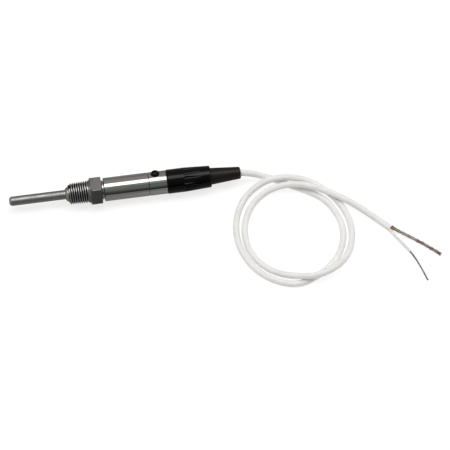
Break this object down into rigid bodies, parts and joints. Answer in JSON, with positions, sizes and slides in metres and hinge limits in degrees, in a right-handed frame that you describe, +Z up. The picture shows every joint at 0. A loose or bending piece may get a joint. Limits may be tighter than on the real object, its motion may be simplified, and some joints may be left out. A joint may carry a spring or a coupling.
{
  "type": "soil moisture sensor",
  "caption": "Immersion-type sensor probe: steel rod, tapered pipe thread and hexagon, tubular housing, latching quick-disconnect connector, and a looped shielded cable with stripped ends.",
  "frame": {"origin": "on the resting surface, under the middle of the rigid assembly without the free cable", "axes": "+X along the probe from the rod's tip to the cable outlet, +Z up, +Y towards the side away from the coiled cable"},
  "size_m": [0.2663, 0.1002, 0.0177],
  "materials": {
    "rod_steel": "satin",
    "fitting_steel": "machined",
    "braze": "satin",
    "washer_steel": "satin",
    "polished_steel": "polished",
    "shell_metal": "polished",
    "black_gloss": "gloss",
    "collar_plastic": "semi-gloss",
    "black_rubber": "satin",
    "seal_rubber": "matte",
    "cable_white": "satin",
    "screen_braid": "braided",
    "tinned_strands": "stranded",
    "core_white": "satin",
    "ceramic": "matte",
    "cement": "matte",
    "epoxy": "gloss",
    "board_green": "gloss",
    "chip_black": "matte",
    "insert_plastic": "matte",
    "gold": "polished",
    "spring_steel": "satin",
    "ferrule_metal": "satin"
  },
  "bodies": {
    "connector": {"connector_shell": "shell_metal", "nose_seal": "seal_rubber", "socket_insert": "insert_plastic", "contact_sockets": "gold", "latch_spring": "spring_steel", "collar": "collar_plastic", "cable_chuck": "insert_plastic", "strain_relief": "black_rubber", "cable_entry": "cable_white", "shield_ferrule": "ferrule_metal", "core_tail": "core_white", "shield_tail": "screen_braid", "cable_jacket": "cable_white", "shield_pigtail": "screen_braid", "core_strands": "tinned_strands", "core_insulation": "core_white"},
    "probe": {"probe_sheath": "rod_steel", "sensing_element": "ceramic", "tip_cement": "cement", "insulator_rod": "ceramic", "element_leads": "tinned_strands", "process_fitting": "fitting_steel", "braze_ring": "braze", "seal_washer": "washer_steel", "sensor_housing": "polished_steel", "housing_nut": "washer_steel", "lead_seal": "epoxy", "signal_board": "board_green", "board_components": "chip_black", "pin_insert": "insert_plastic", "contact_pins": "gold", "retaining_ring": "spring_steel"},
    "latch": {"latch_button": "black_gloss", "latch_arm": "spring_steel"}
  },
  "joints": [
    {"name": "unplug", "type": "slide", "parent": "connector", "child": "probe", "axis": [-1, 0, 0], "range_m": [0, 0.0145]},
    {"name": "latch_press", "type": "slide", "parent": "connector", "child": "latch", "axis": [0, -0.3746, -0.9272], "range_m": [0, 0.001], "stiffness_N_per_m": 1500, "springref_m": -0.001, "deforming": ["latch_spring"]}
  ]
}
